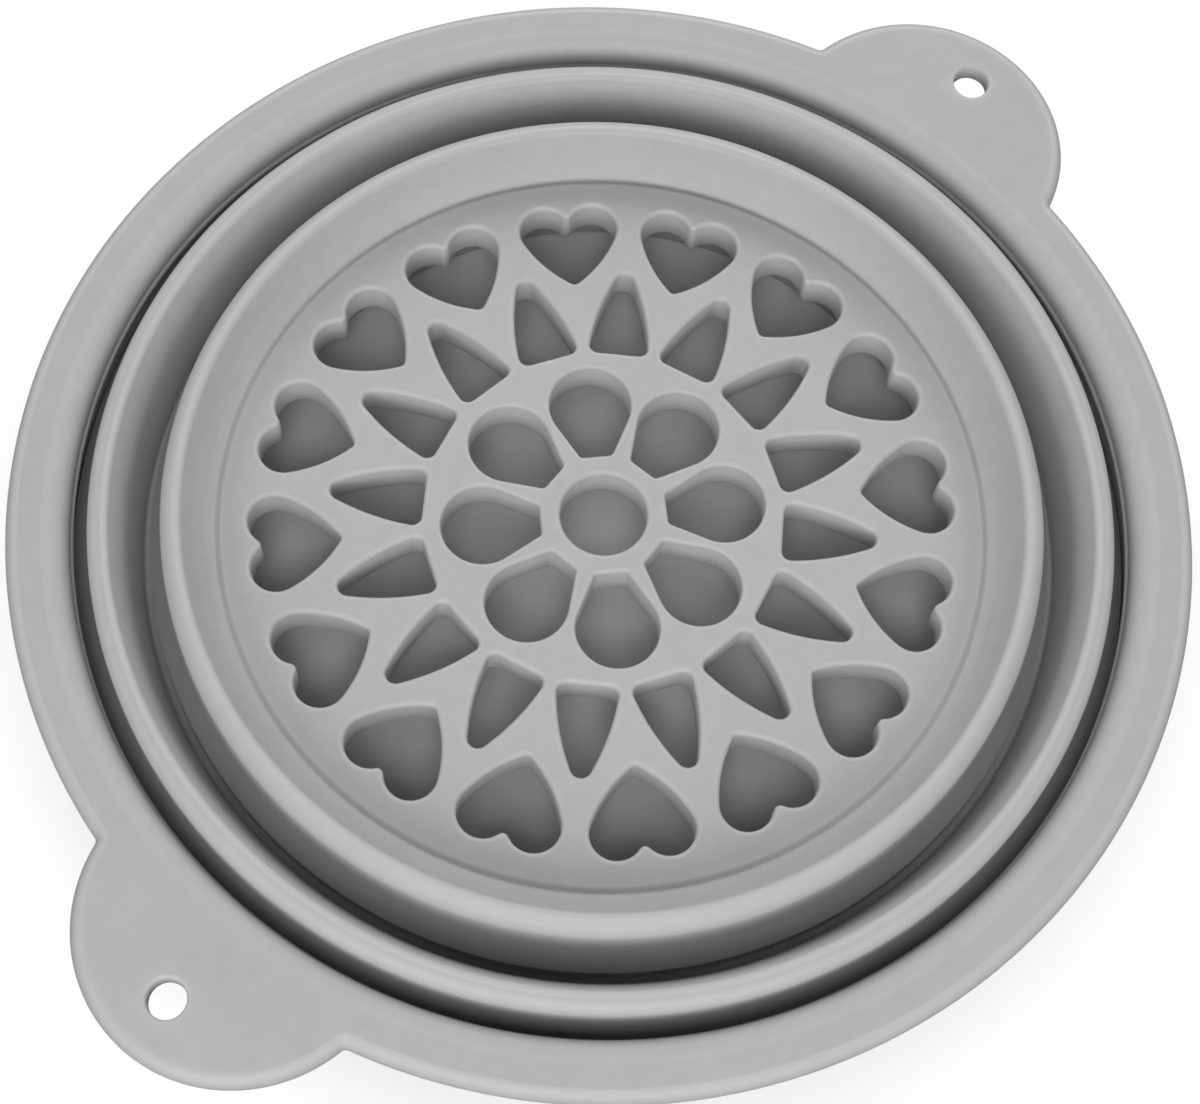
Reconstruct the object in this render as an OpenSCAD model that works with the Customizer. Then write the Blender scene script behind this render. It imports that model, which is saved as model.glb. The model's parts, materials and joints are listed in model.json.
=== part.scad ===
// Collapsible drain basket of a portable mini washer, folded flat.
// A flat rim with two ears, three ring walls that nest in one another, two thin
// webs that fold over between them, and a pierced floor plate on a foot ring.
// Frame: millimetres, +Z up, ears along X, origin on the basket's axis in the
// plane that it stands on.

/* [Rim] */
// Outside diameter of the rim flange
rim_d = 224; // [190:1:270]
// Width of the flat ring, from its edge to the shoulder of the wall
flange_w = 7; // [5:0.5:14]
// Thickness of the flange and the ears
flange_t = 4.2; // [3.4:0.1:6]
// Round of the shoulder where the flange turns down into the wall
shoulder_round = 4.5; // [2:0.25:6]
// Diameter of the stiffening hoop inside the flange
hoop_d = 2; // [1:0.1:2.4]

/* [Ears] */
// Radius of the ear's round outline
ear_r = 29.3; // [22:0.1:36]
// How far an ear stands out past the flange
ear_reach = 20.2; // [16:0.1:26]
// Diameter of the hanging hole
ear_hole_d = 7; // [4:0.1:9]
// Material left between the hanging hole and the ear's tip
ear_hole_edge = 7.5; // [4:0.1:9]

/* [Walls] */
// Thickness of a ring wall at its foot
wall_t = 2.2; // [1.8:0.1:2.8]
// Thickness of a folding web
web_t = 1.4; // [0.9:0.1:1.8]
// Diameter of the bead at the foot of the upper and middle walls
fold_bead_d = 4.4; // [4.2:0.1:5.2]
// Diameter of the bead along the top of the middle and lower walls
ridge_bead_d = 3.2; // [2.6:0.1:3.8]
// Radial distance from the upper wall's mouth out to the middle of its fold bead
upper_lean = 1.9; // [0.5:0.1:2.5]
// Radial distance from the upper fold bead to the middle ridge bead
outer_pleat = 7; // [4.6:0.1:9]
// Radial run of the middle wall, from its ridge bead to its fold bead
middle_run = 7.2; // [5:0.1:12]
// Radial distance from the middle fold bead to the lower ridge bead
inner_pleat = 6.4; // [6:0.1:12]
// Radial run of the lower wall, from its ridge bead to the floor
lower_run = 7.7; // [4:0.1:10]

/* [Heights, folded] */
// Height of the foot ring under the floor plate
foot_h = 8; // [5:0.1:12]
// Thickness of the floor plate
plate_t = 8.4; // [5:0.1:11]
// Top of the lower wall above the floor plate
lower_rise = 9.3; // [6:0.1:14]
// How much lower the top of the middle wall lies than that of the lower wall
middle_step = 0.9; // [0:0.1:3]
// How much lower the rim's top lies than that of the lower wall
rim_step = 2.1; // [0:0.1:4]
// Height of the fold beads above the surface that the basket stands on
fold_lift = 5; // [0.4:0.1:6]

/* [Floor pattern] */
// Plain band of the floor plate outside the hearts
edge_band = 6.6; // [4:0.1:12]
// Width of the foot ring
foot_w = 5.4; // [4:0.1:8]
// Number of hearts, which is also the number of spikes
heart_count = 16; // [12:4:18]
// Number of petals
petal_count = 8; // [6:1:9]

/* [Hidden] */
$fn = 96;
shell_grey = [0.70, 0.70, 0.70];
web_grey = [0.64, 0.64, 0.64];
steel = [0.60, 0.61, 0.62];
// gap between a web's free end and the bead of the wall that moves
body_gap = 0.3;
// a cut runs this far past the faces that it opens
past = 1;

// radii, from the rim inwards
rim_r = rim_d / 2;
shoulder_r = rim_r - flange_w;
mouth_r = shoulder_r - shoulder_round;
fold_bead_r = fold_bead_d / 2;
ridge_bead_r = ridge_bead_d / 2;
upper_fold_at = mouth_r + upper_lean;
middle_ridge_at = upper_fold_at - outer_pleat;
middle_fold_at = middle_ridge_at - middle_run;
lower_ridge_at = middle_fold_at - inner_pleat;
floor_r = lower_ridge_at - lower_run;
foot_out_r = floor_r + wall_t;
foot_in_r = foot_out_r - foot_w;

// heights, from the foot up
plate_top = foot_h + plate_t;
lower_top = plate_top + lower_rise;
middle_top = lower_top - middle_step;
rim_top = lower_top - rim_step;
rim_under = rim_top - flange_t;
fold_z = fold_lift + fold_bead_r;
lower_ridge_z = lower_top - ridge_bead_r;
middle_ridge_z = middle_top - ridge_bead_r;

// a web turns over end for end, so a wall travels twice the web's height
inner_travel = 2 * (lower_ridge_z - fold_z);
outer_travel = 2 * (middle_ridge_z - fold_z);
echo(inner_travel = inner_travel, outer_travel = outer_travel);

// the ear's circle, and its hole
ear_tip = rim_r + ear_reach;
ear_at = ear_tip - ear_r;
ear_hole_at = ear_tip - ear_hole_edge - ear_hole_d / 2;

// The openings are drawn for a pattern of this radius and scaled to the floor.
drawn_r = 67.5;
pattern_scale = (floor_r - edge_band) / drawn_r;

// An opening's outline runs round its corner circles, [x, y, radius], x outwards.
// Each link to the next circle is an arc of the radius given: large is nearly
// straight, and below zero is a hollow.
straight = 5000;
heart_ring = 60;
heart_circles = [[-8.5, 0, 1.2], [2.7, -4.8, 5], [2.7, 4.8, 5]];
heart_links = [26, -1.2, 26];
spike_ring = 42.2;
spike_circles = [[8.4, 0, 2], [-5.8, 4, 1.8], [-5.8, -4, 1.8]];
spike_links = [46, straight, 46];
petal_ring = 22.3;
petal_circles = [[1, 0, 8], [-9, 2.4, 1.1], [-9, -2.4, 1.1]];
petal_links = [straight, straight, straight];
hub_hole_r = 8.4;

// ---- outlines made of tangent arcs

// centre of the arc of radius f that touches circle a and circle b, met in that order
function link_centre(a, b, f) =
    let (ca = [a[0], a[1]], cb = [b[0], b[1]],
         da = abs(f - a[2]), db = abs(f - b[2]),
         d = norm(cb - ca), u = (cb - ca) / d,
         along = (da * da - db * db + d * d) / (2 * d),
         off = sqrt(max(0, da * da - along * along)),
         left = [-u[1], u[0]])
    ca + along * u + sign(f) * off * left;

// point where circle a touches its link of centre o and radius f
function touch(a, o, f) =
    let (ca = [a[0], a[1]], out = sign(f) * (ca - o) / norm(ca - o))
    ca + a[2] * out;

// points along an arc about c from p to q, turning by the signed way round
function arc_points(c, p, q, way, steps) =
    let (a0 = atan2(p[1] - c[1], p[0] - c[0]), a1 = atan2(q[1] - c[1], q[0] - c[0]),
         r = norm(p - c),
         raw = way * (a1 - a0), turn = raw < 0 ? raw + 360 : raw)
    [for (k = [0 : steps - 1]) c + r * [cos(a0 + way * turn * k / steps),
                                        sin(a0 + way * turn * k / steps)]];

// closed outline round the circles cs, linked by arcs of the radii fs
function outline(cs, fs, steps = 8) =
    let (n = len(cs),
         os = [for (i = [0 : n - 1]) link_centre(cs[i], cs[(i + 1) % n], fs[i])])
    [for (i = [0 : n - 1])
        let (h = (i + n - 1) % n, j = (i + 1) % n,
             enter = touch(cs[i], os[h], fs[h]),
             leave = touch(cs[i], os[i], fs[i]),
             meet = touch(cs[j], os[i], fs[i]),
             link_steps = abs(fs[i]) == straight ? 1 : steps)
        each concat(arc_points([cs[i][0], cs[i][1]], enter, leave, 1, steps),
                    arc_points(os[i], leave, meet, sign(fs[i]), link_steps))];

module opening_ring(points, ring, count, first) {
    for (k = [0 : count - 1])
        rotate(first + k * 360 / count)
            scale(pattern_scale)
                translate([ring, 0])
                    polygon(points);
}

// ---- ring walls, drawn as a section (radius, height) and turned about Z

module turned() {
    rotate_extrude($fn = 180) children();
}

module bead_section(at, z, r) {
    translate([at, z]) circle(r = r, $fn = 40);
}

module floor_grille() {
    color(shell_grey)
        translate([0, 0, foot_h])
            difference() {
                cylinder(r = floor_r, h = plate_t, $fn = 180);
                translate([0, 0, -past])
                    cylinder(r = hub_hole_r * pattern_scale, h = plate_t + 2 * past);
                translate([0, 0, -past])
                    linear_extrude(plate_t + 2 * past) {
                        opening_ring(outline(heart_circles, heart_links),
                                     heart_ring, heart_count, 0);
                        opening_ring(outline(spike_circles, spike_links),
                                     spike_ring, heart_count, 180 / heart_count);
                        opening_ring(outline(petal_circles, petal_links),
                                     petal_ring, petal_count, 0);
                    }
            }
}

// Foot ring, the seat of the floor plate, and the cone up to the ridge bead.
module lower_wall() {
    top_in = lower_ridge_at - ridge_bead_r;
    top_out = lower_ridge_at + ridge_bead_r - web_t;
    color(shell_grey)
        turned()
            difference() {
                polygon([[foot_in_r, 0], [foot_out_r, 0],
                         [foot_out_r, plate_top - wall_t / 2],
                         [top_out, lower_ridge_z], [top_in, lower_ridge_z],
                         [floor_r, plate_top], [floor_r, foot_h],
                         [foot_in_r, foot_h]]);
                bead_section(lower_ridge_at, lower_ridge_z, ridge_bead_r);
            }
}

module lower_ridge_bead() {
    color(shell_grey) turned() bead_section(lower_ridge_at, lower_ridge_z, ridge_bead_r);
}

// A web stands between the outer side of a ridge bead and the inner side of a fold
// bead. It is moulded to the ridge, and stops short of the fold bead.
module fold_web(ridge_at, ridge_z, fold_at) {
    top_out = ridge_at + ridge_bead_r;
    foot_in = fold_at - fold_bead_r;
    color(web_grey)
        turned()
            difference() {
                polygon([[top_out - web_t, ridge_z], [top_out, ridge_z],
                         [foot_in + web_t, fold_z], [foot_in, fold_z]]);
                bead_section(ridge_at, ridge_z, ridge_bead_r);
                bead_section(fold_at, fold_z, fold_bead_r + body_gap);
            }
}

module inner_fold_web() {
    fold_web(lower_ridge_at, lower_ridge_z, middle_fold_at);
}

module middle_fold_bead() {
    color(shell_grey) turned() bead_section(middle_fold_at, fold_z, fold_bead_r);
}

// Cone from the ridge bead down and inwards to the fold bead.
module middle_wall() {
    top_in = middle_ridge_at - ridge_bead_r;
    top_out = middle_ridge_at + ridge_bead_r - web_t;
    foot_out = middle_fold_at + fold_bead_r;
    color(shell_grey)
        turned()
            difference() {
                polygon([[foot_out - wall_t, fold_z], [foot_out, fold_z],
                         [top_out, middle_ridge_z], [top_in, middle_ridge_z]]);
                bead_section(middle_ridge_at, middle_ridge_z, ridge_bead_r);
                bead_section(middle_fold_at, fold_z, fold_bead_r);
            }
}

module middle_ridge_bead() {
    color(shell_grey) turned() bead_section(middle_ridge_at, middle_ridge_z, ridge_bead_r);
}

module outer_fold_web() {
    fold_web(middle_ridge_at, middle_ridge_z, upper_fold_at);
}

module upper_fold_bead() {
    color(shell_grey) turned() bead_section(upper_fold_at, fold_z, fold_bead_r);
}

// Round shoulder from the flange into a steep wall down to the fold bead.
module upper_wall() {
    foot_out = upper_fold_at + fold_bead_r;
    round_z = rim_top - shoulder_round;
    shoulder = [for (a = [90 : 15 : 180])
        [shoulder_r + shoulder_round * cos(a), round_z + shoulder_round * sin(a)]];
    color(shell_grey)
        turned()
            difference() {
                polygon(concat(shoulder,
                               [[foot_out - wall_t, fold_z], [foot_out, fold_z],
                                [mouth_r + wall_t, rim_under - shoulder_round / 2],
                                [shoulder_r, rim_under]]));
                bead_section(upper_fold_at, fold_z, fold_bead_r);
            }
}

module hoop_section(r) {
    translate([(rim_r + shoulder_r) / 2, (rim_top + rim_under) / 2]) circle(r = r, $fn = 40);
}

module rim_flange() {
    color(shell_grey)
        turned()
            difference() {
                translate([shoulder_r, rim_under]) square([flange_w, flange_t]);
                hoop_section(hoop_d / 2);
            }
}

module rim_hoop() {
    color(steel) turned() hoop_section(hoop_d / 2);
}

// Round ear on the +X side, outside the flange, with its hanging hole.
module ear() {
    color(shell_grey)
        translate([0, 0, rim_under])
            difference() {
                translate([ear_at, 0, 0]) cylinder(r = ear_r, h = flange_t);
                translate([0, 0, -past]) cylinder(r = rim_r, h = flange_t + 2 * past, $fn = 180);
                translate([ear_hole_at, 0, -past])
                    cylinder(d = ear_hole_d, h = flange_t + 2 * past, $fn = 48);
            }
}

module hanging_ear_left() {
    rotate([0, 0, 180]) ear();
}

module hanging_ear_right() {
    ear();
}

floor_grille();
lower_wall();
lower_ridge_bead();
inner_fold_web();
middle_fold_bead();
middle_wall();
middle_ridge_bead();
outer_fold_web();
upper_fold_bead();
upper_wall();
rim_flange();
rim_hoop();
hanging_ear_left();
hanging_ear_right();
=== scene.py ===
# %% [markdown]
# # A folded drain basket, moulded in two grades of grey plastic
#
# The basket drops into the tub of a small folding washer and strains the wet laundry. It is one moulding: a
# flat rim with two ears, stiff ring walls, soft webs that roll over between them, and a thick pierced floor.
# The CAD model already has every size and every motion. Here it gets the skin that a mould would give it:
# rolled crests, softened lips round each opening, blended feet and a fine matt grain.

# %% [markdown]
# ## The frame
#
# Its box is kept at once, so that the finished skin can be measured against it. The main radii and heights
# are read from CAD nodes, and the smaller steps and rounds are named here. All are in millimetres, because
# a mould drawing is read in millimetres; one factor turns them into Blender's metres when a mesh is made.

# %% Load the frame
import json
import math
import bpy
import numpy as np
from mathutils import Matrix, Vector
from mathutils.geometry import delaunay_2d_cdt


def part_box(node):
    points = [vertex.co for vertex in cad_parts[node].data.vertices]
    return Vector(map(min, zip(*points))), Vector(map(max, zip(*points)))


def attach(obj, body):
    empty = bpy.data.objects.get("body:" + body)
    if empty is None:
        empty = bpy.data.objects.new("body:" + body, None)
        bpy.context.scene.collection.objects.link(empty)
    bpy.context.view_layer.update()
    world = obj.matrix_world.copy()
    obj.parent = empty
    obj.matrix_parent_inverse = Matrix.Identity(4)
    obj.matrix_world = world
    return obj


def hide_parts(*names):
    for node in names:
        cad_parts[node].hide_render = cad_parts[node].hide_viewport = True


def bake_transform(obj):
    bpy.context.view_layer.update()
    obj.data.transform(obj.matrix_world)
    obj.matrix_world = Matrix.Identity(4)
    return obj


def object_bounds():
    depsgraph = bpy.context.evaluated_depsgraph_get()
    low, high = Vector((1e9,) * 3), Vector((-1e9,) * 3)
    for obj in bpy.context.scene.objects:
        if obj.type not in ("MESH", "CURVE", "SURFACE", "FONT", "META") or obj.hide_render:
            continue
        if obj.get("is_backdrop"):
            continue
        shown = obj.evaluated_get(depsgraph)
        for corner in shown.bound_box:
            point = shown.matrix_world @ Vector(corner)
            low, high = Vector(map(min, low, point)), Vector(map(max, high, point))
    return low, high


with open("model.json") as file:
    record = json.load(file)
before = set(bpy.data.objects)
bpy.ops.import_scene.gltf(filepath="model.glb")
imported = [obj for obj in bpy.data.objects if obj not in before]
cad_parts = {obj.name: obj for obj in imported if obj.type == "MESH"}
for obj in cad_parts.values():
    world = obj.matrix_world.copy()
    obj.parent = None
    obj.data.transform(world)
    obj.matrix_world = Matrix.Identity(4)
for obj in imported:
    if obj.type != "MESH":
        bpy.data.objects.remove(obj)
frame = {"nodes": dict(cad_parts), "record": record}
cad_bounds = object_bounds()
MM = 0.001
TAU = 2 * math.pi

# %% Sizes that the CAD nodes give
def span(node):
    """Outer reach along +X, lowest and highest point of a node, in millimetres."""
    low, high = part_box(node)
    return high.x / MM, low.z / MM, high.z / MM


def bead(node):
    """Centre radius, centre height and section radius of a round bead."""
    reach, low, high = span(node)
    radius = (high - low) / 2
    return reach - radius, (low + high) / 2, radius


rim_r, rim_under, rim_top = span("rim_flange")
floor_r, plate_under, plate_top = span("floor_grille")
lower_ridge_r, lower_ridge_z, ridge_bead_r = bead("lower_ridge_bead")
middle_ridge_r, middle_ridge_z, _ = bead("middle_ridge_bead")
middle_fold_r, fold_z, fold_bead_r = bead("middle_fold_bead")
upper_fold_r, _, _ = bead("upper_fold_bead")
upper_reach, _, _ = span("upper_wall")
lower_top = lower_ridge_z + ridge_bead_r
middle_top = middle_ridge_z + ridge_bead_r
hole_mount = next(m for m in frame["record"]["mounts"] if m["name"] == "ear_hole_right")
ear_hole_x = hole_mount["pos_m"][0] / MM
ear_hole_r = hole_mount["dims"]["r_mm"]
print(f"rim {2 * rim_r:.1f} mm across, {lower_top:.1f} mm high, floor {2 * floor_r:.1f} mm across")

# %% [markdown]
# ## The camera
#
# The view looks steeply down into the basket, so that the whole pattern of the floor shows and the near
# flanks still do. The camera is placed by azimuth, height angle and distance round the point that it aims at,
# and then rolled a few degrees about its own axis. Azimuth 0 would look along +Y. The same three axes will
# turn the lamps towards the basket later on, so they have a function of their own.

# %% Camera
VIEW_AIM = np.array([-6.7, -4.4, 16.4])
VIEW_AZIMUTH = math.radians(-57.7)
VIEW_ELEVATION = math.radians(67.8)
VIEW_ROLL = math.radians(6.7)
VIEW_DISTANCE = 426.7
LENS_MM = 67.3
SENSOR_MM = 36


def view_axes(azimuth, elevation, roll):
    """Right, up and back directions: back points from the aim to the camera, right lies level before the
    roll, and both turn about back by the roll."""
    back = np.array([math.sin(azimuth) * math.cos(elevation),
                     -math.cos(azimuth) * math.cos(elevation),
                     math.sin(elevation)])
    right = np.cross([0, 0, 1], back)
    right /= np.linalg.norm(right)
    up = np.cross(back, right)
    turned_up = up * math.cos(roll) - right * math.sin(roll)
    return np.cross(turned_up, back), turned_up, back


def face_aim(thing, aim, distance, azimuth, elevation, roll=0):
    """Sets a camera or lamp at a distance in millimetres from its aim and turns it to face the aim."""
    axes = view_axes(azimuth, elevation, roll)
    turn = np.eye(4)
    turn[:3, :3] = np.stack(axes, 1)
    turn[:3, 3] = (aim + distance * axes[2]) * MM
    thing.matrix_world = Matrix(turn.tolist())
    bpy.context.scene.collection.objects.link(thing)


def place_camera():
    """The scene's camera, with its lens and sensor in millimetres."""
    camera = bpy.data.objects.new("camera", bpy.data.cameras.new("camera"))
    camera.data.lens = LENS_MM
    camera.data.sensor_width = SENSOR_MM
    camera.data.clip_start = 0.01
    face_aim(camera, VIEW_AIM, VIEW_DISTANCE, VIEW_AZIMUTH, VIEW_ELEVATION, VIEW_ROLL)
    bpy.context.scene.camera = camera
    return camera


camera = place_camera()
print("camera at", [round(v / MM, 1) for v in camera.matrix_world.translation], "mm")

# %% [markdown]
# ## Turning arrays into meshes
#
# Every skin below is a whole array of points and a whole array of faces. One function hands both to Blender
# in bulk. It also turns the faces outwards: a closed shell has a positive volume when its faces point out,
# so a negative sum means that every face is the wrong way round. A second attribute is computed for the
# finish: how far each point stands proud of its neighbours and faces up. A handled moulding polishes there
# first, and the lighter colour given there is also a painted highlight on the tops of the crests.

# %% Mesh helpers
SHARP_ANGLE = math.radians(50)
WEAR_AND_HIGHLIGHT_ROUNDS = 4
# How strongly the crest mark keeps to faces turned up, the tops that light falls on: a painted highlight
# there.
UPWARD_POWER = 4


def shell_volume(points, faces):
    """Sum over all faces, cut into triangles, of a . (b x c) / 6."""
    triangles = np.concatenate([faces[:, [0, 1, 2]], faces[:, [0, 2, 3]]])
    triangles = triangles[triangles[:, 1] != triangles[:, 2]]
    a, b, c = (points[triangles[:, k]] for k in range(3))
    return float(np.einsum("ij,ij->i", a, np.cross(b, c)).sum() / 6)


def fill_mesh(mesh, points, faces):
    """Puts points in millimetres and four-column faces into a mesh. A triangle repeats its last corner."""
    three = faces[:, 2] == faces[:, 3]
    sizes = np.where(three, 3, 4)
    keep = np.ones(faces.shape, bool)
    keep[three, 3] = False
    mesh.vertices.add(len(points))
    mesh.vertices.foreach_set("co", (points * MM).astype(np.float32).ravel())
    mesh.loops.add(int(sizes.sum()))
    mesh.loops.foreach_set("vertex_index", faces[keep].astype(np.int32))
    mesh.polygons.add(len(faces))
    mesh.polygons.foreach_set("loop_start", (np.cumsum(sizes) - sizes).astype(np.int32))
    mesh.polygons.foreach_set("use_smooth", np.ones(len(faces), bool))
    mesh.update(calc_edges=True)
    mesh.validate()


def point_array(mesh, key):
    """Each point's position or normal as a row."""
    value = np.empty(len(mesh.vertices) * 3, np.float32)
    mesh.vertices.foreach_get(key, value)
    return value.reshape(-1, 3)


def edge_ends(mesh):
    """The two point numbers of each edge, as two columns' arrays."""
    ends = np.empty(len(mesh.edges) * 2, np.int32)
    mesh.edges.foreach_get("vertices", ends)
    return ends.reshape(-1, 2).T


def standing_proud(mesh):
    """Mean over a point's edges of (normal . edge) / length squared, which is half the curvature in 1/mm and
    above zero where the neighbours lie below the point's tangent plane."""
    place, normal = point_array(mesh, "co") / MM, point_array(mesh, "normal")
    a, b = edge_ends(mesh)
    step = place[a] - place[b]
    length2 = np.maximum((step ** 2).sum(1), 1e-6)
    bend = np.zeros(len(place))
    np.add.at(bend, a, (normal[a] * step).sum(1) / length2)
    np.add.at(bend, b, -(normal[b] * step).sum(1) / length2)
    return bend / np.maximum(np.bincount(np.concatenate([a, b]), minlength=len(place)), 1)


def spread(mesh, value, rounds):
    """Softens a value over the surface: each round, a point keeps half its own value and takes half the mean
    of its neighbours'."""
    a, b = edge_ends(mesh)
    ends, others = np.concatenate([a, b]), np.concatenate([b, a])
    count = np.maximum(np.bincount(ends, minlength=len(value)), 1)
    for _ in range(rounds):
        value = (value + np.bincount(ends, weights=value[others], minlength=len(value)) / count) / 2
    return value


def edge_wear(mesh, full_bend):
    """1 where the surface bends by the full bend or more and faces up, fading to 0: where handling polishes
    the crests, and a painted highlight on their tops. Sharp edges are the hidden seams between pieces and get
    none."""
    wear_and_highlight = np.clip(standing_proud(mesh) / full_bend, 0, 1)
    # Only faces turned up keep the mark, so the lighter colour it gives is a painted highlight on the lit
    # tops.
    wear_and_highlight *= np.clip(point_array(mesh, "normal")[:, 2], 0, 1) ** UPWARD_POWER
    sharp = np.zeros(len(mesh.edges), bool)
    mesh.attributes["sharp_edge"].data.foreach_get("value", sharp)
    wear_and_highlight[np.unique(edge_ends(mesh)[:, sharp])] = 0
    return spread(mesh, wear_and_highlight, WEAR_AND_HIGHLIGHT_ROUNDS)


def skin(name, points, faces, full_bend=0.12):
    """A closed mesh object at the origin, faces out, with the polish and painted highlight of its upward
    crests in a point attribute.
    """
    used = np.zeros(len(points), bool)
    used[faces] = True
    faces = (np.cumsum(used) - 1)[faces]
    points = points[used]
    if shell_volume(points, faces) < 0:
        three = faces[:, 2] == faces[:, 3]
        turned = faces[:, ::-1].copy()
        turned[three] = faces[three][:, [2, 1, 0, 0]]
        faces = turned
    mesh = bpy.data.meshes.new(name)
    fill_mesh(mesh, points, faces)
    mesh.set_sharp_from_angle(angle=SHARP_ANGLE)
    wear_and_highlight = edge_wear(mesh, full_bend)
    mesh.attributes.new("edge_wear", "FLOAT", "POINT").data.foreach_set("value", wear_and_highlight.astype(np.float32))
    piece = bpy.data.objects.new(name, mesh)
    bpy.context.scene.collection.objects.link(piece)
    print(f"{name}: {len(points)} points, {len(faces)} faces, {shell_volume(points, faces) / 1000:.1f} cm3")
    return piece


# %% [markdown]
# ## Sections with rolled corners
#
# A mould maker draws a wall as a section: straight stretches joined by radii. `rounded` does the same. Each
# corner of a rough outline is swapped for the arc of the given radius that touches both of its sides, and
# each straight stretch gets a point close to either end, so that smooth shading stays flat along the stretch
# and bends only in the arc. The section is then carried round the axis.

# %% Sections
ARC_STEP = math.radians(9)
ARC_LENGTH = 1.2
SUPPORT = 0.2


def rounded(corners, closed=True):
    """Section through (radius, height, round) corners. With turn t at a corner, the arc of radius q starts
    q tan(t/2) before the corner and ends as far after it."""
    spots = np.array([c[:2] for c in corners], float)
    count = len(corners)
    path = []
    used = np.zeros(count)
    for i, (_, _, q) in enumerate(corners):
        here = spots[i]
        if not closed and i in (0, count - 1):
            path.append(here[None])
            continue
        before = spots[i - 1] - here
        after = spots[(i + 1) % count] - here
        before, after = before / np.linalg.norm(before), after / np.linalg.norm(after)
        turn = math.pi - math.acos(np.clip(before @ after, -1, 1))
        if q == 0 or turn < 1e-4:
            path.append(here[None])
            continue
        used[i] = q * math.tan(turn / 2)
        start = here + before * used[i]
        middle = before + after
        centre = here + middle / np.linalg.norm(middle) * q / math.cos(turn / 2)
        steps = max(2, math.ceil(turn / ARC_STEP), math.ceil(turn * q / ARC_LENGTH))
        side = np.sign(before[0] * after[1] - before[1] * after[0])
        angle = -side * np.linspace(0, turn, steps + 1)[:, None]
        arm = start - centre
        across = np.array([-arm[1], arm[0]])
        path.append(centre + arm * np.cos(angle) + across * np.sin(angle))
    room = np.linalg.norm(np.roll(spots, -1, axis=0) - spots, axis=1) - used - np.roll(used, -1)
    if not closed:
        room[-1] = 0
    if room.min() < -1e-6:
        raise ValueError(f"the rounds after corner {int(room.argmin())} overlap by {-room.min():.2f} mm")
    return supported(path, closed)


def supported(path, closed):
    """Joins the arcs, with a point SUPPORT in from both ends of each straight stretch between them."""
    out = []
    count = len(path)
    for i, arc in enumerate(path):
        out.append(arc)
        if not closed and i == count - 1:
            break
        a, b = arc[-1], path[(i + 1) % count][0]
        length = np.linalg.norm(b - a)
        if length > 3 * SUPPORT:
            share = SUPPORT / length
            out.append(a + (b - a) * np.array([[share], [1 - share]]))
    joined = np.concatenate(out)
    gap = np.linalg.norm(joined - np.roll(joined, 1, axis=0), axis=1)
    gap[0] = gap[0] if closed else 1
    return joined[gap > 1e-4]


def grid_faces(rows, columns, first=0, close_rows=True):
    """Quads over a grid of points numbered row by row. The columns always close, and the rows on request."""
    i = np.arange(rows if close_rows else rows - 1)[:, None]
    j = np.arange(columns)[None]
    down, right = (i + 1) % rows, (j + 1) % columns
    corners = [i * columns + j, down * columns + j, down * columns + right, i * columns + right]
    return np.stack([np.broadcast_to(c, (i.size, j.size)) for c in corners], -1).reshape(-1, 4) + first


ROUND_STEPS = 320


def directions(angle):
    """Unit vectors at the given angles, one per row."""
    return np.stack([np.cos(angle), np.sin(angle)], 1)


def circle(steps):
    """Unit vectors evenly round a full turn."""
    return directions(np.arange(steps) * TAU / steps)


def lifted(flat, height):
    """Rows of flat points, each row given its own height as Z."""
    return np.concatenate([flat, np.broadcast_to(height[:, None, None], flat.shape[:2] + (1,))], -1)


def turned(section):
    """A closed section carried round Z: (r, z) at angle a is (r cos a, r sin a, z)."""
    points = lifted(section[:, :1, None] * circle(ROUND_STEPS), section[:, 1])
    return points.reshape(-1, 3), grid_faces(len(section), ROUND_STEPS)


# %% [markdown]
# ## The lower wall
#
# The ring that carries the floor: a foot ring to stand on, a soft crease where floor meets wall, a cone that
# steepens as it climbs, and a rolled crest. A lathe would turn such a ring from one section, so this does the
# same. The flank outside the crest ends in a straight stretch, where the soft web takes over flush.

# %% Lower wall
FOOT_W = 5.4
FOOT_STEP = 2.2
WEB_T = 1.3
LOWER_FLANK = 1.7
FLANK_RISE = 14.4
flank_z = fold_z + FLANK_RISE
lower_flank_r = lower_ridge_r + LOWER_FLANK
foot_out = floor_r + FOOT_STEP
seat_r = foot_out - FOOT_W


def lower_wall_section():
    """Round the ring: floor, crease, cone, crest, flank, back under the cone, foot."""
    return rounded([
        (seat_r, plate_top, 0),
        (floor_r - 1.3, plate_top, 1.6),
        (floor_r + 0.1, plate_top - 0.5, 0.8),
        (floor_r + 1.5, plate_top + 0.9, 3),
        (floor_r + 3.2, plate_top + 3.7, 12),
        (lower_ridge_r - 2.1, lower_top, 1.4),
        (lower_flank_r, lower_top - 1.3, 3.6),
        (lower_flank_r, flank_z, 0),
        (lower_flank_r - WEB_T, flank_z, 0),
        (lower_flank_r - WEB_T - 0.7, lower_top - 3.2, 0.7),
        (lower_ridge_r - 1.4, lower_top - 3.9, 0.7),
        (foot_out, plate_top - 3.4, 2),
        (foot_out, 0, 0.8),
        (seat_r, 0, 0.8),
    ])


lower_wall_skin = skin("lower_wall_moulding", *turned(lower_wall_section()))
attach(lower_wall_skin, "floor_tier")
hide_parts("lower_wall", "lower_ridge_bead")

# %% [markdown]
# ## The middle wall
#
# The middle ring nests round the lower one. Its inner face bulges gently and rolls over at the crest, its
# foot turns up in a short lip that the inner web grows from, and its flank ends as the lower one's does. It
# is a ring too, so it is turned from a section like the first.

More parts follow.
